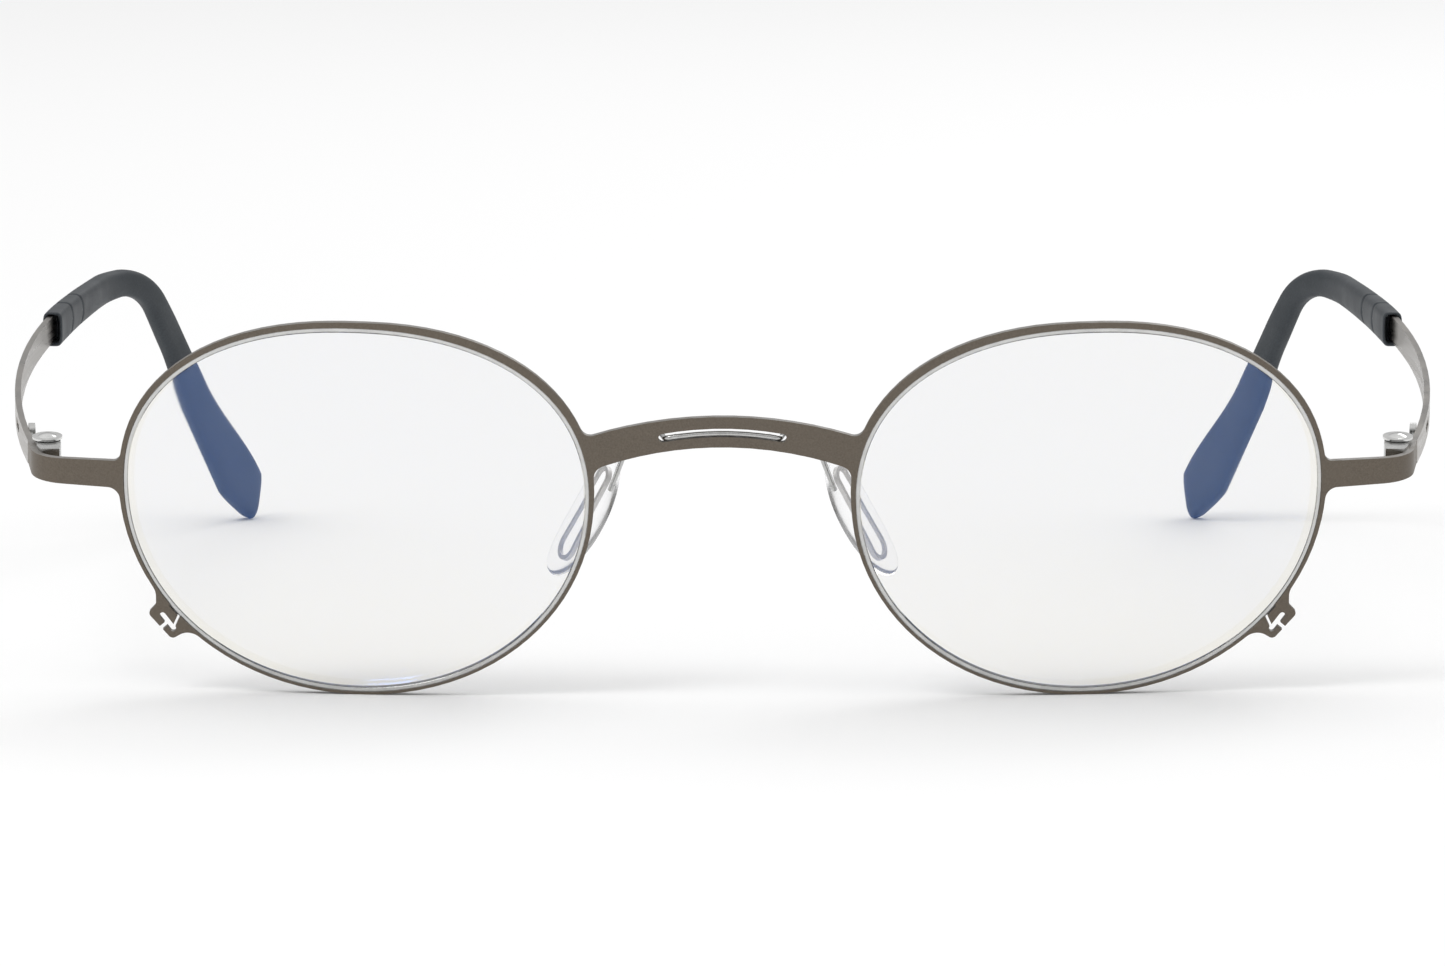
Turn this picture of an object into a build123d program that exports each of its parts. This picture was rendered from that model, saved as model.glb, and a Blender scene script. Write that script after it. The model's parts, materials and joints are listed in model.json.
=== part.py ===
from build123d import *

import os
from math import atan2, copysign, cos, degrees, hypot, radians, sin, sqrt, tan

# Oval sheet-metal eyeglasses, built piece by piece.
#
# Every piece is first drawn in the frame of the front: X runs across the face, +Y runs back
# along the temples and +Z is up, with the front face of the bridge at the origin. The finished
# glasses are then tipped forward until they stand on both rims and on the ends of both tips.
# Pieces called "right" are on the wearer's right, which is the -X side; "left" is their mirror.

# ---- front sheet -------------------------------------------------------------------------
SHEET = 0.6                # thickness of the sheet metal
FACE_RADIUS = 300.0        # curve of the front, seen from above
LUG_BEND_RADIUS = 4.0      # outer radius where the lug turns back
LUG_BEND_X = 62.6          # distance of the bend's centre from the nose
LUG_HEADING = 81.0         # direction of the lug's end, counted from straight across the face
LUG_END_Y = 13.1           # where the lug stops, just short of the temple
LUG_ROOT = (-0.54, 2.21)   # bottom and top of the lug at the rim
LUG_TIP = (-0.38, 2.04)    # bottom and top of the lug at its end

# ---- rim ---------------------------------------------------------------------------------
RIM_CENTRE = 35.05         # distance of each oval's centre from the nose
HALF_WIDTH = 22.36         # inside of the sheet, from the oval's centre outward
HEIGHT_UP = 16.47          # inside of the sheet, from the widest line upward
HEIGHT_DOWN = 19.93
SQUARE_UP = 2.215          # exponent of the oval's upper half; 2 is a true ellipse
SQUARE_DOWN = 2.047
FACE_SIDE = 0.46           # width of the sheet around the oval at the sides
FACE_TOP_EXTRA = 0.12      # the rim is wider at the top
FACE_BOTTOM_LESS = 0.2     # and narrower at the bottom
FACE_NASAL_EXTRA = 0.55    # and wider again towards the bridge

# ---- bridge ------------------------------------------------------------------------------
BRIDGE_TOP = 8.31
BRIDGE_TOP_RADIUS = 40.0
BRIDGE_BOTTOM = 5.29
BRIDGE_BOTTOM_RADIUS = 34.0
SLOT_MIDDLE = 6.74         # height of the slot's centre line at the nose
SLOT_RADIUS = 30.0
SLOT_HALF_LENGTH = 6.1
SLOT_WIDTH = 0.82

# ---- rim lock, in its own axes: u runs along the rim and w points away from the lens ------
LOCK_ANGLE = 218.7         # place on the oval
LOCK_DEPTH = 2.25          # how far the tabs stand out
LOCK_GAP = 0.44            # gap between the two facing hooks
LOCK_GAP_U = 0.42
LOCK_BAR = (2.2, 0.6)      # length and width of the tool slot behind the hooks
LOCK_BAR_PLACE = (0.38, 1.32)
LOCK_SLIT = 0.26           # slit that opens the rim
LOCK_LEAN = 24.0           # slant of that slit
LOCK_CREVICE = (1.5, 0.15)  # thin gap between the upper hook and the eyewire

# ---- eyewire and lens --------------------------------------------------------------------
LIP = 0.4                  # how far the eyewire reaches inside the sheet
WIRE_FRONT = 0.1           # depth of the eyewire's front face behind the sheet's front face
WIRE_BACK = 1.8
WIRE_BEHIND = 0.22         # how far the eyewire reaches outward behind the sheet
WIRE_GAP = 0.26            # split in the eyewire at the lock
WIRE_GAP_PLACE = (-1.1, -0.3)
WIRE_GAP_LEAN = 45.0       # slant of that split
GROOVE_DEPTH = 1.0         # depth of the groove's middle behind the front face
GROOVE_WIDTH = 0.5
GROOVE_WALL = 0.06         # groove floor, inside the sheet's edge
LENS_THICKNESS = 1.6
TONGUE = 0.44
LENS_CLEARANCE = 0.06

# ---- nose wire and pads ------------------------------------------------------------------
NOSE_WIRE = 0.5            # diameter
PAD_LENGTH = 13.4
PAD_WIDTH = 6.4
PAD_TOP_SHARE = 0.9        # width at the top, as a share of the width at the bottom
PAD_THICKNESS = 2.1
PAD_CENTRE = (-13.15, 6.8, -3.3)
PAD_SPLAY = 20.0           # rear edge turned outward
PAD_FLARE = 27.5           # bottom turned outward
CORE_THICKNESS = 0.4       # wire of the ring inside the pad
CORE_INSET = 1.7           # from the pad's edge to the ring

# ---- hinge -------------------------------------------------------------------------------
HINGE = (-65.1, 12.3)      # hinge axis
HINGE_MIDDLE = 0.85        # height of the temple's centre line on the axis
EAR_RADIUS = 1.3
MIDDLE_EAR_RADIUS = 1.05
TOP_EAR = (1.25, 2.4)
MIDDLE_EAR = (0.35, 1.09)
BOTTOM_EAR = (-0.35, 0.19)
PIN_RADIUS = 0.55
PIN_PRESSED = 0.01         # radial gap in the two fixed ears
PIN_RUNNING = 0.05         # radial gap in the turning ear
CAP_RADIUS = 1.45
CAP_BOTTOM = 2.45
CAP_RIM = 0.2
DOME_RADIUS = 0.9          # raised middle of the cap
DOME_HEIGHT = 0.26
PIN_END = -0.8
RING_Z = (-0.62, -0.42)
RING_RADIUS = 0.95
RING_GROOVE = 0.45
WASHER_RADIUS = 1.15
WASHER_THICKNESS = 0.1
LEAF_WEB_TURN = 115.0      # direction of the web from the ear to the plate, seen from above
LEAF_PLATE = 0.3           # plate welded inside the temple
LEAF_TAB = 0.6             # and the rounded tab on it
LEAF_ENDS = (1.4, 7.6)
RELIEF = (5.4, 0.8)        # slot in the strip behind the plate
RELIEF_S = 15.8

# ---- temple, along its own axis: s runs back from the hinge --------------------------------
STRIP = 0.6
STRIP_HEIGHT_FRONT = 2.3
STRIP_HEIGHT_REAR = 2.7
TEMPLE_FRONT_Y = 13.35
TEMPLE_DROP = 7.0          # angle between the temple and a line square to the front
TEMPLE_OFFSET = 1.51       # strip's centre line outside the hinge axis
BOW_FRONT = (300.0, 9.6)   # radius and turn of the strip from the hinge to its widest point
BOW_REAR = (266.0, 10.2)
BOW_TIP = (18.0, 21.2)     # where the tip turns in behind the ear
TIP_RUN = 30.0             # straight run behind that turn, longer than the tip
TIP_START = 72.0
TIP_BEND_S = 106.0         # corner of the centre line at the ear
TIP_SLOPE = 60.0           # the tip points down by this much, seen from the side
TIP_LENGTH = 34.8          # from the corner to the end
TIP_FRONT_HEIGHT = 3.6
TIP_NECK_HEIGHT = 4.0
BLADE_START = 17.5         # where the back edge begins to widen into a blade
BLADE_WIDEST = 29.3
BLADE_BACK = 3.9           # widest reach of the back edge from the centre line
BLADE_CUT = 28.5           # where the front edge turns in towards the point
BLADE_ROUNDS = (8.0, 3.0, 2.0, 0.7, 5.0)
TIP_OUTSIDE = 0.75         # rubber from the strip's centre line outward
TIP_INSIDE = 1.25          # and inward
TIP_TOP_ROUND = 12.0
TIP_UNDER_ROUND = 4.5
CORE_HEIGHT = 1.6
CORE_LENGTH = 18.0
MOUTH_DEPTH = 2.5          # open mouth of the tip around the strip
MOUTH_PLAY = 0.25          # its width and height beyond the strip
MOUTH_WALL = 0.45          # rubber left on its inner side

FAR = 200.0
GAP = 0.02


# ---- helpers -----------------------------------------------------------------------------
def rim_point(angle, grow=0.0):
    """A point of the right oval at a parameter angle, moved outward by grow, as (x, z)."""
    across, up = cos(radians(angle)), sin(radians(angle))
    power = SQUARE_UP if up >= 0 else SQUARE_DOWN
    height = HEIGHT_UP if up >= 0 else HEIGHT_DOWN
    x = HALF_WIDTH * copysign(abs(across) ** (2 / power), across)
    z = height * copysign(abs(up) ** (2 / power), up)
    normal_x = copysign((abs(x) / HALF_WIDTH) ** (power - 1), x) / HALF_WIDTH
    normal_z = copysign((abs(z) / height) ** (power - 1), z) / height
    size = hypot(normal_x, normal_z)
    return (-RIM_CENTRE + x + grow * normal_x / size, z + grow * normal_z / size)


def rim_normal(angle):
    """Outward normal of the right oval, as (x, z)."""
    inner, outer = rim_point(angle), rim_point(angle, 1.0)
    return (outer[0] - inner[0], outer[1] - inner[1])


def sheet_width(angle):
    """Width of the sheet around the oval: widest above the nose, narrowest at the bottom."""
    across, up = cos(radians(angle)), sin(radians(angle))
    if up >= 0:
        return FACE_SIDE + FACE_TOP_EXTRA * up ** 2 + FACE_NASAL_EXTRA * max(across, 0) * up
    return FACE_SIDE - FACE_BOTTOM_LESS * (1 - (1 + up) ** 2)


def oval(grow):
    """Flat face inside the oval grown by a number or by a function of the angle."""
    steps = 40
    points = []
    for step in range(steps):
        angle = 360 * step / steps
        points.append(rim_point(angle, grow(angle) if callable(grow) else grow))
    return make_face(Spline(*points, periodic=True))


def through(sketch, front=-20.0, back=40.0):
    """A flat outline, drawn as (x, z), pushed through the front from front to back."""
    return extrude(Plane.XZ.offset(-front) * sketch, amount=-(back - front))


def chain(start, heading, moves, shift):
    """Edges of a path of straight runs (0, length) and turns (radius, degrees), moved to
    the left by shift. Left turns are positive."""
    side = radians(heading + 90)
    point = Vector(start[0] + shift * cos(side), start[1] + shift * sin(side))
    edges = []
    for radius, amount in moves:
        ahead = Vector(cos(radians(heading)), sin(radians(heading)))
        if radius == 0:
            edges.append(Line(point, point + ahead * amount))
        else:
            moved = radius - shift if amount > 0 else radius + shift
            edges.append(JernArc(point, ahead, moved, amount))
            heading += amount
        point = edges[-1] @ 1
    return edges


def band(start, heading, moves, left, right):
    """Flat face between a path moved left and the same path moved by right."""
    first = chain(start, heading, moves, left)
    second = chain(start, heading, moves, right)
    ends = [Line(first[0] @ 0, second[0] @ 0), Line(first[-1] @ 1, second[-1] @ 1)]
    return make_face(first + second + ends)


def slab(face, bottom, top):
    """A plan outline, drawn as (x, y), raised from bottom to top."""
    return extrude(Pos(0, 0, bottom) * face, amount=top - bottom)


def tube(outer, inner, low, high):
    """Upright ring on the hinge axis."""
    ring = Circle(outer) - Circle(inner)
    return slab(Pos(*HINGE) * ring, low, high)


def post(radius, low, high):
    """Upright solid cylinder on the hinge axis."""
    return slab(Pos(*HINGE) * Circle(radius), low, high)


def round_corners(outline, places):
    """Outline with the corner nearest to each place rounded by that place's radius."""
    for place, radius in places:
        nearest = outline.vertices().sort_by_distance(Vertex(*place))[0]
        outline = fillet(nearest, radius)
    return outline


def front_plan(left, right):
    """Plan of the whole front between two depths behind its front face."""
    turn = LUG_HEADING
    arc = degrees(atan2(LUG_BEND_X, sqrt((FACE_RADIUS - LUG_BEND_RADIUS) ** 2 - LUG_BEND_X ** 2)))
    bend_y = FACE_RADIUS - (FACE_RADIUS - LUG_BEND_RADIUS) * cos(radians(arc))
    end_x = LUG_BEND_X + LUG_BEND_RADIUS * sin(radians(turn))
    end_y = bend_y - LUG_BEND_RADIUS * cos(radians(turn))
    run = (LUG_END_Y - end_y) / sin(radians(turn))
    start = (-end_x - run * cos(radians(turn)), LUG_END_Y)
    moves = [(0, run), (LUG_BEND_RADIUS, turn - arc), (FACE_RADIUS, 2 * arc),
             (LUG_BEND_RADIUS, turn - arc), (0, run)]
    return band(start, -turn, moves, left, right)


def shell(front, back):
    """Layer of the front's cylinder between two depths behind its front face."""
    ring = Circle(FACE_RADIUS - front) - Circle(FACE_RADIUS - back)
    cut = Pos(0, 40) * Rectangle(140, 80)
    return slab(Pos(0, FACE_RADIUS) * ring & cut, -30, 30)


def lock_frame():
    """Location whose x runs down along the rim and whose y points away from the lens."""
    x, z = rim_point(LOCK_ANGLE)
    out_x, out_z = rim_normal(LOCK_ANGLE)
    return Pos(x, z) * Rot(0, 0, degrees(atan2(out_z, out_x)) - 90) * Rot(0, 180, 0)


# ---- front sheet -------------------------------------------------------------------------
def lock_tabs():
    """Block of the two facing hooks beside the split in the rim."""
    outline = Polygon((-3.1, -0.3), (-1.62, 1.05), (-1.48, LOCK_DEPTH), (1.9, LOCK_DEPTH - 0.05),
                      (2.3, -0.3), align=None)
    outline = round_corners(outline, [((-1.48, LOCK_DEPTH), 0.42), ((1.9, LOCK_DEPTH), 0.5),
                                      ((-1.62, 1.05), 0.5)])
    return lock_frame() * outline


def lock_cuts():
    """Slot between the hooks for the opening tool, the slit from it to the lens and the thin
    gap from there up to the split in the eyewire."""
    stem = Pos(LOCK_GAP_U, LOCK_DEPTH) * Rectangle(LOCK_GAP, 1.7)
    bar = Pos(*LOCK_BAR_PLACE) * Rot(0, 0, 4) * SlotOverall(*LOCK_BAR)
    slit = Pos(0.78, 0.5) * Rot(0, 0, -LOCK_LEAN) * Rectangle(LOCK_SLIT, 1.6)
    crevice = Rectangle(LOCK_CREVICE[0], 2 * LOCK_CREVICE[1])
    return lock_frame() * (stem + bar + slit + crevice)


def bridge_slot(width):
    """Curved slot of the bridge; also the path of the nose wire inside it."""
    middle = Circle(SLOT_RADIUS + width / 2) - Circle(SLOT_RADIUS - width / 2)
    reach = SLOT_HALF_LENGTH - width / 2
    window = Pos(0, SLOT_RADIUS) * Rectangle(2 * reach, 10)
    slot = Pos(0, SLOT_MIDDLE - SLOT_RADIUS) * (middle & window)
    drop = SLOT_RADIUS - sqrt(SLOT_RADIUS ** 2 - reach ** 2)
    for side in (-1, 1):
        slot += Pos(side * reach, SLOT_MIDDLE - drop) * Circle(width / 2)
    return slot


def front_sheet():
    rim = oval(sheet_width)
    reach = 15.5
    top = Pos(0, BRIDGE_TOP - BRIDGE_TOP_RADIUS) * Circle(BRIDGE_TOP_RADIUS)
    under = Pos(0, BRIDGE_BOTTOM - BRIDGE_BOTTOM_RADIUS) * Circle(BRIDGE_BOTTOM_RADIUS)
    bridge = (top - under) & (Pos(-reach / 2, 5) * Rectangle(reach, 10))
    lug = Polygon((-56.5, LUG_ROOT[0]), (-56.5, LUG_ROOT[1]), (-67.5, LUG_TIP[1]),
                  (-67.5, LUG_TIP[0]), align=None)
    half = rim + bridge + lug + lock_tabs()
    roots = [((-13.6, 6.3), 1.0), ((-12.2, 2.6), 1.3), ((-57.8, 2.1), 0.7), ((-57.8, -0.4), 1.2)]
    for u, w, radius in ((-2.65, 0.1, 1.6), (2.2, 0.2, 1.6)):
        root = (lock_frame() * Pos(u, w)).position
        roots.append(((root.X, root.Y), radius))
    half = round_corners(half, roots) - oval(0) - lock_cuts()
    whole = half + mirror(half, about=Plane.YZ) - bridge_slot(SLOT_WIDTH)
    return through(whole) & slab(front_plan(0, SHEET), -30, 30)


# ---- lenses and their channels -------------------------------------------------------------
def lens_sphere():
    """Centre and radius of the sphere through four places of the groove's middle."""
    def depth(x):
        return FACE_RADIUS - sqrt((FACE_RADIUS - GROOVE_DEPTH) ** 2 - x ** 2)
    mid_z = (HEIGHT_UP - HEIGHT_DOWN) / 2
    nasal = (-RIM_CENTRE + HALF_WIDTH, depth(RIM_CENTRE - HALF_WIDTH), -mid_z)
    outer = (-RIM_CENTRE - HALF_WIDTH, depth(RIM_CENTRE + HALF_WIDTH), -mid_z)
    upper = (-RIM_CENTRE, depth(RIM_CENTRE), (HEIGHT_UP + HEIGHT_DOWN) / 2)

    def plane(first, second):
        across = 2 * (second[0] - first[0])
        back = 2 * (second[1] - first[1])
        return across, back, sum(b * b - a * a for a, b in zip(first, second))
    a1, b1, c1 = plane(nasal, outer)
    a2, b2, c2 = plane(nasal, upper)
    across = (c1 * b2 - c2 * b1) / (a1 * b2 - a2 * b1)
    back = (a1 * c2 - a2 * c1) / (a1 * b2 - a2 * b1)
    radius = sqrt((nasal[0] - across) ** 2 + (nasal[1] - back) ** 2 + nasal[2] ** 2)
    return (across, back, mid_z), radius


def lens_layer(outline, thickness):
    """Part of the lens's spherical layer inside an outline."""
    centre, radius = lens_sphere()
    block = through(outline, back=20.0)
    block &= Pos(*centre) * Sphere(radius + thickness / 2)
    return block - Pos(*centre) * Sphere(radius - thickness / 2)


def eyewire():
    lip = oval(0) - oval(-LIP)
    wall = oval(WIRE_BEHIND) - oval(-LIP)
    channel = through(lip) & shell(WIRE_FRONT, SHEET)
    channel += through(wall) & shell(SHEET, WIRE_BACK)
    groove = lens_layer(oval(-GROOVE_WALL) - oval(-LIP - 1), GROOVE_WIDTH)
    split = Pos(*WIRE_GAP_PLACE) * Rot(0, 0, -WIRE_GAP_LEAN) * Rectangle(WIRE_GAP, 2.6)
    return channel - groove - through(lock_frame() * split)


def lens():
    body = lens_layer(oval(-LIP - LENS_CLEARANCE), LENS_THICKNESS)
    tongue = lens_layer(oval(-GROOVE_WALL - GAP) - oval(-LIP - 1), TONGUE)
    return body + tongue


# ---- nose wire and pads ------------------------------------------------------------------
def nose_wire():
    """Staple whose back lies in the bridge slot and whose arms run down into the pads."""
    sink = (SLOT_WIDTH - NOSE_WIRE) / 2 - GAP
    radius = SLOT_RADIUS
    centre_z = SLOT_MIDDLE - sink - radius
    reach = SLOT_HALF_LENGTH - SLOT_WIDTH / 2 - 0.15
    turn = 0.7
    corner_z = centre_z + sqrt(radius ** 2 - reach ** 2)
    depth = SHEET / 2
    points = [(reach, depth, corner_z), (reach + 0.3, 2.7, corner_z - 0.2),
              (8.2, 3.4, 5.1), (9.45, 3.95, 3.2), (10.75, 4.9, -0.5)]
    back = ThreePointArc((-reach, depth, corner_z), (0, depth, centre_z + radius),
                         (reach, depth, corner_z))
    ahead = back % 1
    lead = Vector(*points[0]) - ahead * 1.2
    arms = FilletPolyline(lead, *points, radius=[turn, 0.8, 1.6, 1.6])
    wire = sweep(arms.location_at(0) * Circle(NOSE_WIRE / 2), path=arms)
    wire += mirror(wire, about=Plane.YZ)
    wire += sweep(back.location_at(0) * Circle(NOSE_WIRE / 2), path=back) & \
        Box(2 * (reach - 0.9), 10, 40)
    return wire


def pad_place():
    return Pos(*PAD_CENTRE) * Rot(0, PAD_FLARE, 0) * Rot(0, 0, PAD_SPLAY)


def pad_outline(shrink):
    """Long rounded outline, wider at the bottom, drawn as (width, length)."""
    low = Pos(0, -PAD_LENGTH / 2 + PAD_WIDTH / 2) * Circle(PAD_WIDTH / 2 - shrink)
    top_radius = PAD_TOP_SHARE * PAD_WIDTH / 2
    high = Pos(0, PAD_LENGTH / 2 - top_radius) * Circle(top_radius - shrink)
    return make_hull((low + high).edges())


def nose_pad_core():
    ring = pad_outline(CORE_INSET) - pad_outline(CORE_INSET + CORE_THICKNESS)
    solid = extrude(Plane.YZ * ring, amount=CORE_THICKNESS / 2, both=True)
    return pad_place() * solid - nose_wire()


def nose_pad():
    solid = extrude(Plane.YZ * pad_outline(0), amount=PAD_THICKNESS / 2, both=True)
    solid = fillet(solid.edges().filter_by(GeomType.LINE, reverse=True), 0.9)
    return pad_place() * solid - nose_wire() - nose_pad_core()


# ---- hinge -------------------------------------------------------------------------------
def hinge_front_leaf():
    """Block in the corner of the lug with the two fixed ears."""
    x, y = HINGE
    outside = slab(front_plan(-8, SHEET), -5, 5)
    block = Pos(x + 0.05, y - 2.3) * Rectangle(2.7, 2.2)
    leaf = slab(block, BOTTOM_EAR[0], TOP_EAR[1])
    neck = Pos(x, y - 0.7) * Rectangle(2 * EAR_RADIUS, 1.4)
    for low, high in (BOTTOM_EAR, TOP_EAR):
        leaf += slab(neck + Pos(x, y) * Circle(EAR_RADIUS), low, high)
    leaf -= outside
    leaf -= post(EAR_RADIUS + 0.05, BOTTOM_EAR[1], TOP_EAR[0])
    return leaf - post(PIN_RADIUS + PIN_PRESSED, BOTTOM_EAR[0], TOP_EAR[1])


def hinge_pin():
    """Shaft with a flanged, domed cap and a groove for the retaining ring."""
    top = CAP_BOTTOM + CAP_RIM
    shaft_in = Polyline((0, PIN_END), (PIN_RADIUS - 0.1, PIN_END), (PIN_RADIUS, PIN_END + 0.1),
                        (PIN_RADIUS, RING_Z[0]), (RING_GROOVE, RING_Z[0]),
                        (RING_GROOVE, RING_Z[1]), (PIN_RADIUS, RING_Z[1]),
                        (PIN_RADIUS, CAP_BOTTOM), (CAP_RADIUS, CAP_BOTTOM), (CAP_RADIUS, top))
    rim = Line((CAP_RADIUS, top), (DOME_RADIUS, top))
    rise = DOME_RADIUS ** 2 / (2 * DOME_HEIGHT) + DOME_HEIGHT / 2
    middle = DOME_RADIUS / 2
    dome = ThreePointArc((DOME_RADIUS, top),
                         (middle, top + DOME_HEIGHT - rise + sqrt(rise ** 2 - middle ** 2)),
                         (0, top + DOME_HEIGHT))
    axis_line = Line((0, top + DOME_HEIGHT), (0, PIN_END))
    profile = make_face(shaft_in.edges() + [rim, dome, axis_line])
    return Pos(*HINGE) * revolve(Plane.XZ * profile, Axis.Z)


def hinge_washers():
    """Two thin friction washers, one above and one below the turning ear."""
    inner = PIN_RADIUS + 0.05
    solids = []
    for low, high in ((BOTTOM_EAR[1], MIDDLE_EAR[0]), (MIDDLE_EAR[1], TOP_EAR[0])):
        base = (low + high - WASHER_THICKNESS) / 2
        solids += tube(WASHER_RADIUS, inner, base, base + WASHER_THICKNESS).solids()
    return Compound(children=solids)


def hinge_ring():
    return tube(RING_RADIUS, RING_GROOVE + 0.01, *RING_Z)


# ---- temple ------------------------------------------------------------------------------
def temple_place():
    """From the temple's own axes to the front's: the temple drops towards the ear."""
    return Pos(HINGE[0], HINGE[1], HINGE_MIDDLE) * Rot(-TEMPLE_DROP, 0, 0)


def temple_plan(left, right):
    moves = [(BOW_FRONT[0], -BOW_FRONT[1]), (BOW_REAR[0], -BOW_REAR[1]),
             (BOW_TIP[0], -BOW_TIP[1]), (0, TIP_RUN)]
    return band((-TEMPLE_OFFSET, 0), 90 + BOW_FRONT[1], moves, left, right)


def curtain(left, right, outline):
    """Bowed strip between two offsets, cut to a side outline drawn as (s, height)."""
    wall = slab(temple_plan(left, right), -60, 20)
    side = extrude(Plane.YZ * outline, amount=FAR / 2, both=True)
    return wall & side


def slope_point(along, height):
    """Place beyond the bend, as (s, height above the temple's axis)."""
    down = radians(TIP_SLOPE)
    return (TIP_BEND_S + along * cos(down) + height * sin(down),
            -along * sin(down) + height * cos(down))


def bent_outline(start_s, front, neck, beyond):
    """Side outline that runs level from start_s and then turns down at the ear. Its height is
    given at the front and at the neck; beyond lists the rest as (distance along the slope
    from the corner, height above the sloping centre line)."""
    shift = neck / 2 * tan(radians(TIP_SLOPE) / 2)
    return Polygon((start_s, front / 2), (TIP_BEND_S + shift, neck / 2),
                   *[slope_point(*place) for place in beyond],
                   (TIP_BEND_S - shift, -neck / 2), (start_s, -front / 2), align=None)


def temple():
    front, rear = STRIP_HEIGHT_FRONT / 2, STRIP_HEIGHT_REAR / 2
    end = TIP_START + MOUTH_DEPTH + 2
    strip = Polygon((0, -front), (0, front), (60, rear), (end, rear), (end, -rear), (60, -rear),
                    align=None)
    half = CORE_HEIGHT / 2
    core = bent_outline(end - 1, CORE_HEIGHT, CORE_HEIGHT,
                        [(CORE_LENGTH, half), (CORE_LENGTH, -half)])
    core = round_corners(core, [((TIP_BEND_S, 1), 9.5), ((TIP_BEND_S, -1), 7.5)])
    relief = Pos(RELIEF_S, 0) * SlotOverall(*RELIEF)
    solid = temple_place() * curtain(STRIP / 2, -STRIP / 2, strip + core - relief)
    return solid - Pos(HINGE[0], TEMPLE_FRONT_Y - 25, 0) * Box(20, 50, 20)


def temple_tip():
    half = TIP_NECK_HEIGHT / 2
    blade = [(BLADE_START, half), (BLADE_WIDEST, BLADE_BACK), (TIP_LENGTH - 1.6, 0.7 * BLADE_BACK),
             (TIP_LENGTH, 0), (BLADE_CUT, -half)]
    outline = bent_outline(TIP_START, TIP_FRONT_HEIGHT, TIP_NECK_HEIGHT, blade)
    rounds = [((TIP_BEND_S + 2, 2), TIP_TOP_ROUND), ((TIP_BEND_S - 1, -2), TIP_UNDER_ROUND)]
    rounds += [(slope_point(*place), radius) for place, radius in zip(blade, BLADE_ROUNDS)]
    outline = round_corners(outline, rounds)
    solid = curtain(TIP_OUTSIDE, -TIP_INSIDE, outline)
    mouth = Pos(TIP_START, 0) * Rectangle(2 * MOUTH_DEPTH, STRIP_HEIGHT_REAR + MOUTH_PLAY)
    solid -= curtain((STRIP + MOUTH_PLAY) / 2, -TIP_INSIDE + MOUTH_WALL, mouth)
    return temple_place() * solid - temple()


def hinge_temple_leaf():
    """Turning ear, its web, and the plate with a rounded tab welded inside the strip."""
    x, y = HINGE
    ear = Pos(x, y) * Circle(MIDDLE_EAR_RADIUS)
    web = Pos(x, y) * Rot(0, 0, LEAF_WEB_TURN) * Pos(1.5, 0) * Rectangle(3.0, 1.1)
    leaf = slab(ear + web, *MIDDLE_EAR)
    plate_height = STRIP_HEIGHT_FRONT - 0.3
    start, end = LEAF_ENDS
    plate = Pos((start + end) / 2, 0) * RectangleRounded(end - start, plate_height, 0.4)
    tab = Pos(end - 0.6, 0.55) * SlotOverall(2.4, 1.4, rotation=90)
    inner = -STRIP / 2
    leaf -= temple_place() * curtain(STRIP, inner, Pos(end / 2, 0) * Rectangle(2 * end, 10))
    leaf += temple_place() * curtain(inner, inner - LEAF_PLATE, plate)
    leaf += temple_place() * curtain(inner, inner - LEAF_TAB, tab)
    return leaf - post(PIN_RADIUS + PIN_RUNNING, *MIDDLE_EAR)


# ---- assembly ----------------------------------------------------------------------------
def standing_lean(front, tip):
    """Forward lean at which the rims and the ends of the tips stand on one level."""
    lean = 0.0
    for _ in range(4):
        rim_box = (Rot(lean, 0, 0) * front).bounding_box()
        tip_box = (Rot(lean, 0, 0) * tip).bounding_box()
        reach = tip_box.max.Y - rim_box.min.Y
        lean += degrees(atan2(rim_box.min.Z - tip_box.min.Z, reach))
    return lean


def main():
    right = {
        "eyewire": eyewire(), "lens": lens(), "nose_pad": nose_pad(),
        "nose_pad_core": nose_pad_core(), "hinge_front_leaf": hinge_front_leaf(),
        "hinge_temple_leaf": hinge_temple_leaf(), "hinge_pin": hinge_pin(),
        "hinge_washers": hinge_washers(), "hinge_ring": hinge_ring(), "temple": temple(),
        "temple_tip": temple_tip(),
    }
    pieces = {"front_sheet": front_sheet(), "nose_wire": nose_wire()}
    for name, shape in right.items():
        pieces[name + "_right"] = shape
        pieces[name + "_left"] = mirror(shape, about=Plane.YZ)

    lean = standing_lean(pieces["front_sheet"], pieces["temple_tip_right"])
    leaned = {name: Rot(lean, 0, 0) * shape for name, shape in pieces.items()}
    boxes = [shape.bounding_box() for shape in leaned.values()]
    low = min(box.min.Z for box in boxes)
    middle = (min(box.min.Y for box in boxes) + max(box.max.Y for box in boxes)) / 2
    os.makedirs("parts", exist_ok=True)
    for name, shape in leaned.items():
        export_step(Pos(0, -middle, -low) * shape, f"parts/{name}.step")
    print("lean", round(lean, 3), "shift", round(-middle, 4), round(-low, 4))
    for name in ("front_sheet", "temple_tip_right"):
        print(name, "lowest", round(leaned[name].bounding_box().min.Z - low, 3))


main()
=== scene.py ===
import json
from math import atan2, cos, pi, radians, sin, sqrt, tan

import bmesh
import bpy
from mathutils import Matrix, Vector


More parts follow.
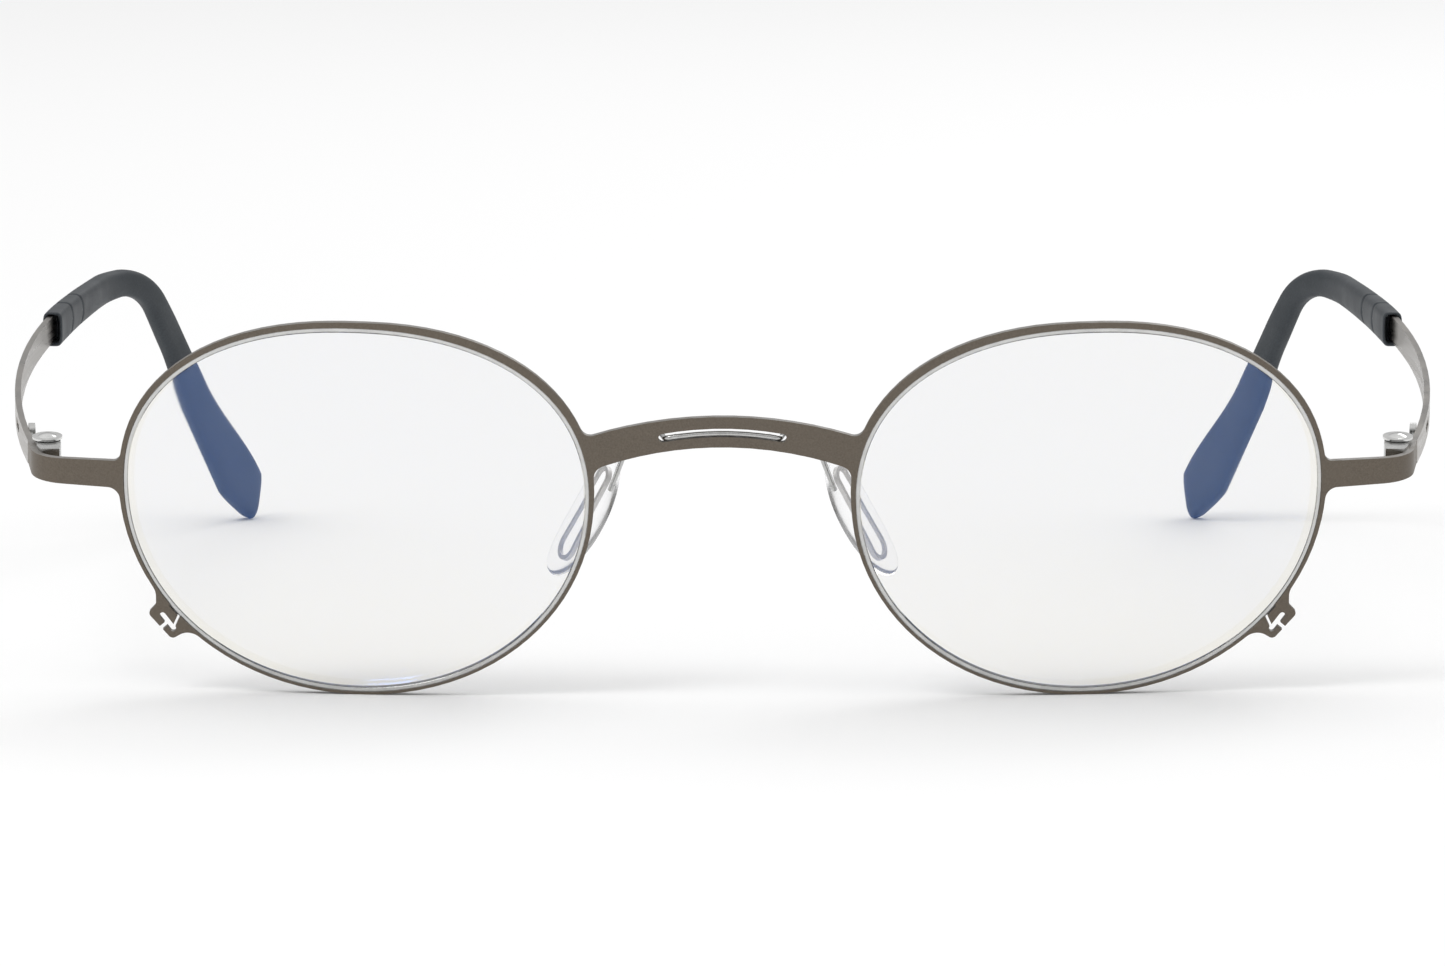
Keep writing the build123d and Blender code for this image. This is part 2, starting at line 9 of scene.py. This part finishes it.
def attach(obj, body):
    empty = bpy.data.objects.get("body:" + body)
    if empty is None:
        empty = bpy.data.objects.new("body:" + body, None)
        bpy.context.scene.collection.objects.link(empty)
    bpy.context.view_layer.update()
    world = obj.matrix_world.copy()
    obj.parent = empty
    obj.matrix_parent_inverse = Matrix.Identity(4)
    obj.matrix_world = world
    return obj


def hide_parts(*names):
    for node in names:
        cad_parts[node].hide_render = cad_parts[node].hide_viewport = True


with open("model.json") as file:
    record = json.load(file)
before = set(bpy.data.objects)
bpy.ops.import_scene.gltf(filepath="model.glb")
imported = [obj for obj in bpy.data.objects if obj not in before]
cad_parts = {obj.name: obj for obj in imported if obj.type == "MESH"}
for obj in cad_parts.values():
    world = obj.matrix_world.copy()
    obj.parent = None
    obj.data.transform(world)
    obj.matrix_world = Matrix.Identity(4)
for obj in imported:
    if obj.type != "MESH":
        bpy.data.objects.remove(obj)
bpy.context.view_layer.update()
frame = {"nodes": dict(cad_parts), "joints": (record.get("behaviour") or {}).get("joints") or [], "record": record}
NODES = frame["nodes"]
MM = 0.001
SIDES = ("right", "left")

# ---- the front's own axes: X across, Y back along the temples, Z up ------------------------
HINGE_IN_FRONT = Vector((65.1, 12.3, 0.85)) * MM
left_joint = next(j for j in frame["joints"] if j["name"] == "left_hinge")
LEAN = atan2(-left_joint["axis"][1], left_joint["axis"][2])
TILT = Matrix.Rotation(LEAN, 4, "X")
FRONT = Matrix.Translation(Vector(left_joint["pos_m"]) - TILT @ HINGE_IN_FRONT) @ TILT
UP = (TILT @ Vector((0, 0, 1))).to_3d()
BACK = (TILT @ Vector((0, 1, 0))).to_3d()

# ---- camera ---------------------------------------------------------------------------------
CAMERA_DISTANCE = 0.9
CAMERA_ABOVE_FRONT = radians(17.5)     # angle between the view and the front's own normal
AIM_ABOVE_BRIDGE = 1.67 * MM
LENS_MM = 235.4


def add_camera():
    rise = CAMERA_ABOVE_FRONT - LEAN
    ahead = Vector((0, cos(rise), -sin(rise)))
    above = Vector((0, sin(rise), cos(rise)))
    aim = FRONT.translation + above * AIM_ABOVE_BRIDGE
    data = bpy.data.cameras.new("camera")
    data.lens = LENS_MM
    data.sensor_width = 36
    data.clip_start = 0.01
    camera = bpy.data.objects.new("camera", data)
    camera.location = aim - ahead * CAMERA_DISTANCE
    camera.rotation_euler = ahead.to_track_quat("-Z", "Y").to_euler()
    bpy.context.scene.collection.objects.link(camera)
    bpy.context.scene.camera = camera


# ---- floor and light --------------------------------------------------------------------------
FLOOR_HALF = 3.0                       # half the floor's side
FLOOR_GREY = 0.96
SKY = ((0.0, 0.2), (0.75, 1.0))        # height of the view direction and grey of the sky there
LAMPS = (("key", (-0.45, -0.5, 0.75), 0.35, 2.0),     # name, place, side and power in watts
         ("back", (0.35, 0.6, 0.6), 0.4, 1.0))


def add_floor():
    half = FLOOR_HALF
    mesh = bpy.data.meshes.new("floor")
    mesh.from_pydata([(-half, -half, 0), (half, -half, 0), (half, half, 0), (-half, half, 0)],
                     [], [(0, 1, 2, 3)])
    floor = bpy.data.objects.new("floor", mesh)
    bpy.context.scene.collection.objects.link(floor)
    paint = bpy.data.materials.new("floor_paint")
    paint.use_nodes = True
    shader = paint.node_tree.nodes["Principled BSDF"]
    shader.inputs["Base Color"].default_value = (FLOOR_GREY, FLOOR_GREY, FLOOR_GREY, 1)
    shader.inputs["Roughness"].default_value = 0.9
    shader.inputs["Specular IOR Level"].default_value = 0.1
    mesh.materials.append(paint)


def add_sky():
    """A plain sky that brightens from the horizon upward."""
    world = bpy.data.worlds.new("studio")
    world.use_nodes = True
    tree = world.node_tree
    sky = tree.nodes["Background"]
    where = tree.nodes.new("ShaderNodeTexCoord")
    split = tree.nodes.new("ShaderNodeSeparateXYZ")
    ramp = tree.nodes.new("ShaderNodeValToRGB")
    tree.links.new(where.outputs["Generated"], split.inputs["Vector"])
    tree.links.new(split.outputs["Z"], ramp.inputs["Fac"])
    tree.links.new(ramp.outputs["Color"], sky.inputs["Color"])
    for (height, grey), stop in zip(SKY, ramp.color_ramp.elements):
        stop.position = height
        stop.color = (grey, grey, grey, 1)
    sky.inputs["Strength"].default_value = 1.0
    bpy.context.scene.world = world


def add_lamps():
    for name, place, size, watts in LAMPS:
        data = bpy.data.lights.new(name, "AREA")
        data.shape = "SQUARE"
        data.size = size
        data.energy = watts
        lamp = bpy.data.objects.new(name, data)
        lamp.location = place
        lamp.rotation_euler = (-Vector(place)).to_track_quat("-Z", "Y").to_euler()
        bpy.context.scene.collection.objects.link(lamp)


# ---- material helpers -------------------------------------------------------------------------
NOISE_ROUGHNESS = 0.55


class Paint:
    """A node material around one Principled shader, in the object's own coordinates."""

    def __init__(self, name, colour, metallic=0.0, roughness=0.5, **sockets):
        self.material = bpy.data.materials.new(name)
        self.material.use_nodes = True
        self.tree = self.material.node_tree
        self.shader = self.tree.nodes["Principled BSDF"]
        self.shader.inputs["Base Color"].default_value = (*colour, 1)
        self.shader.inputs["Metallic"].default_value = metallic
        self.shader.inputs["Roughness"].default_value = roughness
        for socket, value in sockets.items():
            self.shader.inputs[socket.replace("_", " ")].default_value = value
        self.where = self.node("ShaderNodeTexCoord")

    def node(self, kind, **settings):
        made = self.tree.nodes.new(kind)
        for key, value in settings.items():
            setattr(made, key, value)
        return made

    def link(self, source, target):
        self.tree.links.new(source, target)

    def scaled(self, scale):
        """Object coordinates stretched by scale (per metre)."""
        mapping = self.node("ShaderNodeMapping")
        mapping.inputs["Scale"].default_value = scale
        self.link(self.where.outputs["Object"], mapping.inputs["Vector"])
        return mapping.outputs["Vector"]

    def noise(self, scale, detail=3.0):
        made = self.node("ShaderNodeTexNoise")
        made.inputs["Scale"].default_value = 1.0
        made.inputs["Detail"].default_value = detail
        made.inputs["Roughness"].default_value = NOISE_ROUGHNESS
        self.link(self.scaled(scale), made.inputs["Vector"])
        return made.outputs["Fac"]

    def ramp(self, factor, low, high, first, last):
        """Colours from first to last while factor runs from low to high."""
        made = self.node("ShaderNodeValToRGB")
        made.color_ramp.elements[0].position = low
        made.color_ramp.elements[1].position = high
        made.color_ramp.elements[0].color = (*first, 1)
        made.color_ramp.elements[1].color = (*last, 1)
        self.link(factor, made.inputs["Fac"])
        return made.outputs["Color"]

    def remap(self, factor, low, high, to_low, to_high):
        made = self.node("ShaderNodeMapRange")
        made.inputs["From Min"].default_value = low
        made.inputs["From Max"].default_value = high
        made.inputs["To Min"].default_value = to_low
        made.inputs["To Max"].default_value = to_high
        self.link(factor, made.inputs["Value"])
        return made.outputs["Result"]

    def mix(self, factor, first, second):
        """Colour between first and second; each is a colour or a socket."""
        made = self.node("ShaderNodeMix", data_type="RGBA")
        self.link(factor, made.inputs["Factor"])
        colours = [socket for socket in made.inputs if socket.type == "RGBA"]
        for source, socket in zip((first, second), colours):
            if isinstance(source, tuple):
                socket.default_value = (*source, 1)
            else:
                self.link(source, socket)
        return next(socket for socket in made.outputs if socket.type == "RGBA")

    def math(self, operation, first, second=None):
        made = self.node("ShaderNodeMath", operation=operation)
        for index, source in enumerate((first, second)):
            if source is None:
                continue
            if isinstance(source, (int, float)):
                made.inputs[index].default_value = source
            else:
                self.link(source, made.inputs[index])
        return made.outputs["Value"]

    def along(self, vector, direction):
        made = self.node("ShaderNodeVectorMath", operation="DOT_PRODUCT")
        self.link(vector, made.inputs[0])
        made.inputs[1].default_value = direction
        return made.outputs["Value"]

    def bump(self, height, strength, distance):
        made = self.node("ShaderNodeBump")
        made.inputs["Strength"].default_value = strength
        made.inputs["Distance"].default_value = distance
        self.link(height, made.inputs["Height"])
        self.link(made.outputs["Normal"], self.shader.inputs["Normal"])

    def feed(self, source, socket):
        self.link(source, self.shader.inputs[socket])


# ---- materials --------------------------------------------------------------------------------
def coated_sheet():
    """Matte taupe coating with a fine grain; faces turned up or down get a bare steel colour, partly cut edges
    where the steel shows through and partly a painted highlight.
    """
    paint = Paint("coated_sheet", (0.11, 0.09, 0.072), 0.25, 0.42, Specular_IOR_Level=0.35)
    speckle = paint.noise((6000, 6000, 6000), 2.0)
    cloud = paint.noise((240, 240, 240), 3.0)
    grain = paint.ramp(speckle, 0.3, 0.7, (0.112, 0.093, 0.072), (0.16, 0.133, 0.104))
    body = paint.mix(paint.remap(cloud, 0.35, 0.65, 0.0, 0.35), grain, (0.146, 0.122, 0.096))
    normal = paint.where.outputs["Normal"]
    # partly painted highlight: faces turned up or down get a patchy bare steel colour, standing partly for cut
    # edges and partly for light glancing off them
    rise = paint.math("ABSOLUTE", paint.along(normal, tuple(UP)))
    cut_edge_and_highlight = paint.remap(rise, 0.55, 0.9, 0.0, 0.75)
    wear_and_highlight_breakup = paint.remap(paint.noise((900, 900, 900), 2.0), 0.3, 0.6, 0.45, 1.0)
    bare_steel_and_highlight = paint.math("MULTIPLY", cut_edge_and_highlight, wear_and_highlight_breakup)
    paint.feed(paint.mix(bare_steel_and_highlight, body, (0.34, 0.335, 0.325)), "Base Color")
    paint.feed(paint.remap(bare_steel_and_highlight, 0.0, 1.0, 0.25, 0.9), "Metallic")
    paint.feed(paint.remap(speckle, 0.3, 0.7, 0.36, 0.5), "Roughness")
    paint.bump(speckle, 0.25, 0.00002)
    return paint.material


def steel(name, colour, roughness, streak, side_shade=1.0, rounding=0.0):
    """Bare metal with faint streaks; streak is the noise scale along each axis, sides below 1
    paints shade on the surfaces that do not face forward or back, and rounding softens the edges."""
    paint = Paint(name, colour, 1.0, roughness)
    lines = paint.noise(streak, 4.0)
    darker = tuple(0.82 * c for c in colour)
    tone = paint.ramp(lines, 0.3, 0.7, darker, colour)
    # painted shade: surfaces that do not face forward or back are darkened to the given share of the colour
    if side_shade < 1:
        shade_facing = paint.math("ABSOLUTE", paint.along(paint.where.outputs["Normal"], tuple(BACK)))
        tone = paint.mix(paint.remap(shade_facing, 0.3, 0.8, 0.0, 1.0),
                         tuple(side_shade * c for c in colour), tone)
    paint.feed(tone, "Base Color")
    paint.feed(paint.remap(lines, 0.3, 0.7, roughness * 0.75, roughness * 1.25), "Roughness")
    if rounding:
        soft = paint.node("ShaderNodeBevel")
        soft.inputs["Radius"].default_value = rounding
        paint.feed(soft.outputs["Normal"], "Normal")
    else:
        paint.bump(lines, 0.15, 0.00001)
    return paint.material


def demo_lens():
    """Clear plastic with a coating that reflects a little blue."""
    paint = Paint("demo_lens", (0.9, 0.9, 0.9), 0.0, 0.0, Transmission_Weight=1.0, IOR=1.85,
                  Specular_Tint=(0.16, 0.36, 1.0, 1.0))
    smear = paint.noise((60, 60, 60), 2.0)
    paint.feed(paint.remap(smear, 0.4, 0.7, 0.0, 0.03), "Roughness")
    return paint.material


def clear_silicone():
    """Soft clear pads, with a refraction low enough to stay as faint as they really look."""
    paint = Paint("clear_silicone", (0.97, 0.97, 0.975), 0.0, 0.08, Transmission_Weight=1.0,
                  IOR=1.07)
    haze = paint.noise((500, 500, 500), 2.0)
    paint.feed(paint.remap(haze, 0.3, 0.7, 0.1, 0.22), "Roughness")
    paint.bump(haze, 0.08, 0.00005)
    return paint.material


def washer_plastic():
    """Black plastic, hardly seen between the ears."""
    paint = Paint("washer_plastic", (0.03, 0.03, 0.032), 0.0, 0.5)
    paint.feed(paint.remap(paint.noise((3000, 3000, 3000)), 0.3, 0.7, 0.4, 0.6), "Roughness")
    return paint.material


def tip_rubber():
    """Slate-grey rubber: soft sheen, fine moulded texture."""
    paint = Paint("tip_rubber", (0.04, 0.047, 0.056), 0.0, 0.55, Sheen_Weight=0.06,
                  Specular_IOR_Level=0.35)
    fine = paint.noise((5000, 5000, 5000), 3.0)
    cloud = paint.noise((180, 180, 180), 3.0)
    grain = paint.ramp(fine, 0.3, 0.7, (0.024, 0.03, 0.036), (0.038, 0.046, 0.054))
    paint.feed(paint.mix(paint.remap(cloud, 0.35, 0.7, 0.0, 0.4), grain, (0.034, 0.04, 0.046)),
               "Base Color")
    paint.feed(paint.remap(cloud, 0.3, 0.7, 0.45, 0.65), "Roughness")
    paint.bump(fine, 0.3, 0.00003)
    return paint.material


MATERIALS = {
    "coated_sheet": coated_sheet(),
    "polished_wire": steel("polished_wire", (0.56, 0.56, 0.55), 0.18, (2500, 300, 300)),
    # the eyewire's surfaces that do not face forward or back get painted shade, a quarter of its colour
    "eyewire_steel": steel("eyewire_steel", (0.66, 0.66, 0.65), 0.2, (700, 700, 700), 0.25,
                          rounding=0.0002),
    "demo_lens": demo_lens(),
    "clear_silicone": clear_silicone(),
    "pad_core_metal": steel("pad_core_metal", (0.8, 0.79, 0.78), 0.6, (900, 900, 900)),
    "hinge_steel": steel("hinge_steel", (0.6, 0.6, 0.59), 0.22, (500, 500, 2600)),
    "polished_cap": steel("polished_cap", (0.72, 0.72, 0.71), 0.12, (900, 900, 900)),
    "washer_plastic": washer_plastic(),
    "brushed_temple": steel("brushed_temple", (0.38, 0.36, 0.335), 0.32, (600, 25, 3500)),
    "tip_rubber": tip_rubber(),
}


def paint_nodes():
    """Gives every CAD node the material of its slot."""
    for part in frame["record"]["subparts"]:
        for slot in NODES[part["node"]].material_slots:
            slot.material = MATERIALS[part["material_slot"]]


# ---- mesh helpers -----------------------------------------------------------------------------
def skin(name, rings, slot, body):
    """Closed mesh through rings of points in millimetres, with both ends closed."""
    made = bmesh.new()
    loops = [[made.verts.new(point * MM) for point in ring] for ring in rings]
    count = len(loops[0])
    for first, second in zip(loops, loops[1:]):
        for i in range(count):
            made.faces.new((first[i], first[(i + 1) % count], second[(i + 1) % count], second[i]))
    made.faces.new(reversed(loops[0]))
    made.faces.new(loops[-1])
    bmesh.ops.recalc_face_normals(made, faces=made.faces)
    mesh = bpy.data.meshes.new(name)
    made.to_mesh(mesh)
    made.free()
    mesh.polygons.foreach_set("use_smooth", [True] * len(mesh.polygons))
    piece = bpy.data.objects.new(name, mesh)
    bpy.context.scene.collection.objects.link(piece)
    mesh.materials.append(MATERIALS[slot])
    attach(piece, body)
    return piece


def power(value, exponent):
    """Signed power, for superellipses."""
    return abs(value) ** exponent * (1 if value >= 0 else -1)


def ease(value, low, high):
    """0 below low, 1 above high, smooth between."""
    share = min(max((value - low) / (high - low), 0), 1)
    return share * share * (3 - 2 * share)


def between(value, table):
    """Smooth interpolation in a short list of (position, value)."""
    if value <= table[0][0]:
        return table[0][1]
    for (low, first), (high, last) in zip(table, table[1:]):
        if value <= high:
            return first + (last - first) * ease(value, low, high)
    return table[-1][1]


# ---- temple tips ------------------------------------------------------------------------------
TEMPLE_OFFSET = 1.51                  # strip's centre line outside the hinge axis, millimetres
TEMPLE_DROP = radians(7)
BOWS = ((300.0, 9.6), (266.0, 10.2), (18.0, 21.2))   # radius and turn of the strip, in plan
TIP_START = 72.0
TIP_CORNER = 106.0                    # corner of the centre line at the ear
TIP_SLOPE = radians(60)
TIP_ROUND = 7.0                       # radius of the centre line at the ear
TIP_LENGTH = 34.25                    # from the corner to the end
TIP_POINTS = 56                       # points around a ring
BACK_EDGE = ((-30, 1.8), (-9, 1.62), (-1, 1.36), (8, 1.85), (16, 1.95), (31, 4.2))
FRONT_EDGE = ((-30, 1.8), (-8, 1.64), (4, 1.4), (9, 1.5), (17, 2.5), (28.5, 2.5))
HALF_THICKNESS = ((-34, 1.02), (-8, 0.98), (10, 1.0), (28, 1.04))
SQUARENESS = ((-34, 4.2), (-20, 3.4), (-5, 2.7), (40, 2.6))     # exponent of the section
BACK_CUT = 31.0                       # where the back edge turns in towards the point
FRONT_CUT = 28.5                      # where the front edge does
POINT_HALF = 0.1                      # half the width left at the very end
END_ROUND = 1.1                       # length over which the end's thickness is rounded
TIP_INWARD = 0.25                     # middle of the rubber inside the strip's centre line
GROOVES = (78.4, 84.2)                # the two pointed grooves across the tip
GROOVE_DEPTH = 0.2
GROOVE_HALF = 0.45
GROOVE_POINT = 0.9                    # the groove's middle lies this much further back
MOUTH_DEPTH = 2.3
MOUTH_WALL = 0.3
MOUTH_LIP = ((MOUTH_DEPTH, -MOUTH_WALL - 0.12), (1.2, -MOUTH_WALL), (0.25, -MOUTH_WALL),
             (0.08, -MOUTH_WALL + 0.07), (0.0, -0.17), (0.06, -0.06), (0.2, 0.0))
LIP_END = 0.45                        # where the plain rings begin, behind the rounded lip
STEP = 0.5                            # distance between rings
FINE_STEP = 0.12                      # and near a groove
FINE_REACH = 1.6
GROOVE_MIDDLE = 0.5                   # middle of a groove's fine rings behind its start
END_LENGTH = 1.2                      # stretch of closer rings at the end
END_RINGS = 12
END_SHORT = 0.001                     # keeps the last ring open


def temple_axes(side):
    """From a temple's own axes (x outward, s back, height up) to the scene, in millimetres."""
    mirror = 1 if side == "left" else -1
    hinge = Vector((HINGE_IN_FRONT.x * mirror, HINGE_IN_FRONT.y, HINGE_IN_FRONT.z)) / MM
    place = FRONT.copy()
    place.translation = FRONT.translation / MM
    return place @ Matrix.Translation(hinge) @ Matrix.Rotation(-TEMPLE_DROP, 4, "X") \
        @ Matrix.Scale(mirror, 4, (1, 0, 0))


def bow(s):
    """Distance of the strip outside the hinge axis and its heading towards the head."""
    x, at, heading = TEMPLE_OFFSET, 0.0, -radians(BOWS[0][1])
    for radius, turn in BOWS:
        end = heading + radians(turn)
        reach = radius * (sin(end) - sin(heading))
        if s <= at + reach:
            now = sin(heading) + (s - at) / radius
            angle = atan2(now, sqrt(1 - now * now))
            return x - radius * (cos(heading) - cos(angle)), angle
        x -= radius * (cos(heading) - cos(end))
        at += reach
        heading = end
    return x - (s - at) * tan(heading), heading


def profile(run):
    """(s, height, slope) of the tip's centre line at a run along it from the mouth."""
    cut = TIP_ROUND * tan(TIP_SLOPE / 2)
    level = TIP_CORNER - cut - TIP_START
    arc = TIP_ROUND * TIP_SLOPE
    if run <= level:
        return TIP_START + run, 0.0, 0.0
    if run <= level + arc:
        slope = (run - level) / TIP_ROUND
        return TIP_CORNER - cut + TIP_ROUND * sin(slope), -TIP_ROUND * (1 - cos(slope)), slope
    rest = run - level - arc + cut
    return TIP_CORNER + rest * cos(TIP_SLOPE), -rest * sin(TIP_SLOPE), TIP_SLOPE


def tip_run_end():
    cut = TIP_ROUND * tan(TIP_SLOPE / 2)
    return TIP_CORNER - 2 * cut - TIP_START + TIP_ROUND * TIP_SLOPE + TIP_LENGTH


def tip_ring(side, run, grow=0.0, groove=True):
    """One ring of the tip at a run along it; grow is added to its half sizes."""
    s, height, slope = profile(run)
    ahead = run - (tip_run_end() - TIP_LENGTH)      # past the corner, along the slope
    back = between(ahead, BACK_EDGE)
    front = between(ahead, FRONT_EDGE)
    half = between(ahead, HALF_THICKNESS)
    if ahead > FRONT_CUT:
        share = (ahead - FRONT_CUT) / (TIP_LENGTH - FRONT_CUT)
        front -= (front - POINT_HALF) * share ** 1.3
    if ahead > BACK_CUT:
        share = (ahead - BACK_CUT) / (TIP_LENGTH - BACK_CUT)
        back -= (back - POINT_HALF) * min(share ** 1.4, 1)
    closing = min((tip_run_end() - run) / END_ROUND, 1)
    half *= sqrt(max(1 - (1 - closing) ** 2, 0.0)) * 0.96 + 0.04
    x, heading = bow(s)
    out = Vector((cos(heading), sin(heading), 0))
    above = Vector((0, sin(slope), cos(slope)))
    across = Vector((-sin(heading) * sin(slope), sin(slope) * cos(heading), cos(slope)))
    middle = Vector((x, s, height)) - out * TIP_INWARD
    exponent = 2 / between(ahead, SQUARENESS)
    place = temple_axes(side)
    ring = []
    for i in range(TIP_POINTS):
        angle = 2 * pi * i / TIP_POINTS
        thick = power(cos(angle), exponent)
        tall = power(sin(angle), exponent)
        sink = 0.0
        if groove:
            for groove_s in GROOVES:
                gap = abs(s - groove_s - GROOVE_POINT * (1 - abs(tall)) * (1 if thick < 0 else 0.4))
                sink = max(sink, GROOVE_DEPTH * (1 - ease(gap, 0.0, GROOVE_HALF)))
        reach = (half + grow - sink) * thick
        up = (tall * (back if tall > 0 else front)) + tall * (grow - sink)
        ring.append(place @ (middle + out * reach + across * up))
    return ring


def temple_tip(side):
    """Rubber tip: open mouth around the strip, two pointed grooves, bend and blade."""
    end = tip_run_end()
    runs = []
    run = LIP_END
    while run < end - END_LENGTH:
        runs.append(run)
        fine = any(abs(TIP_START + run - groove_s - GROOVE_MIDDLE) < FINE_REACH
                   for groove_s in GROOVES)
        run += FINE_STEP if fine else STEP
    quarter = pi / 2 / END_RINGS
    runs += [end - END_LENGTH * (1 - sin(step * quarter)) - END_SHORT
             for step in range(1, END_RINGS + 1)]
    rings = [tip_ring(side, at, grow, groove=False) for at, grow in MOUTH_LIP]
    rings += [tip_ring(side, at) for at in runs]
    piece = skin("temple_tip_" + side + "_skin", rings, "tip_rubber", side + "_temple")
    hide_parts("temple_tip_" + side)
    return piece


# ---- nose pads --------------------------------------------------------------------------------
PAD_CENTRE = Vector((13.15, 6.8, -3.3))
PAD_SPLAY = radians(20)
PAD_FLARE = radians(27.5)
PAD_LENGTH = 13.4
PAD_WIDTH = 6.4
PAD_THICKNESS = 2.1
PAD_TOP_SHARE = 0.9
PAD_BOW = 30.0                        # radius of the pad's own curve along its length
PAD_SHIFT = 0.35                      # centres the bowed pad on its place
PAD_OUTLINE = 0.86                    # power that makes the outline fuller than an ellipse
PAD_EDGE = 0.42                       # power that rounds its edge
PAD_POINTS = 64
PAD_LAYERS = 18
PAD_FACES = (0.015, 0.97)             # first layer and span of the layers, as shares of a half turn


def nose_pad(side):
    """Soft clear pad: rounded drop outline, crowned faces, slightly bowed towards the nose."""
    mirror = 1 if side == "left" else -1
    place = FRONT.copy()
    place.translation = FRONT.translation / MM
    place = place @ Matrix.Scale(mirror, 4, (1, 0, 0)) @ Matrix.Translation(PAD_CENTRE) \
        @ Matrix.Rotation(-PAD_FLARE, 4, "Y") @ Matrix.Rotation(-PAD_SPLAY, 4, "Z")
    rings = []
    for layer in range(PAD_LAYERS + 1):
        turn = pi * (PAD_FACES[0] + PAD_FACES[1] * layer / PAD_LAYERS)
        shrink = sin(turn) ** PAD_EDGE
        thick = -PAD_THICKNESS / 2 * cos(turn)
        ring = []
        for i in range(PAD_POINTS):
            angle = 2 * pi * i / PAD_POINTS
            up = PAD_LENGTH / 2 * power(sin(angle), PAD_OUTLINE)
            share = 1 - (1 - PAD_TOP_SHARE) * (0.5 + up / PAD_LENGTH)
            wide = PAD_WIDTH / 2 * share * power(cos(angle), PAD_OUTLINE)
            bowed = (up * shrink) ** 2 / (2 * PAD_BOW)
            ring.append(place @ Vector((thick + bowed - PAD_SHIFT, wide * shrink, up * shrink)))
        rings.append(ring)
    piece = skin("nose_pad_" + side + "_skin", rings, "clear_silicone", "front")
    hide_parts("nose_pad_" + side)
    return piece


bpy.context.scene.view_settings.view_transform = "Standard"
add_camera()
add_floor()
add_sky()
add_lamps()
paint_nodes()
for side in SIDES:
    temple_tip(side)
    nose_pad(side)
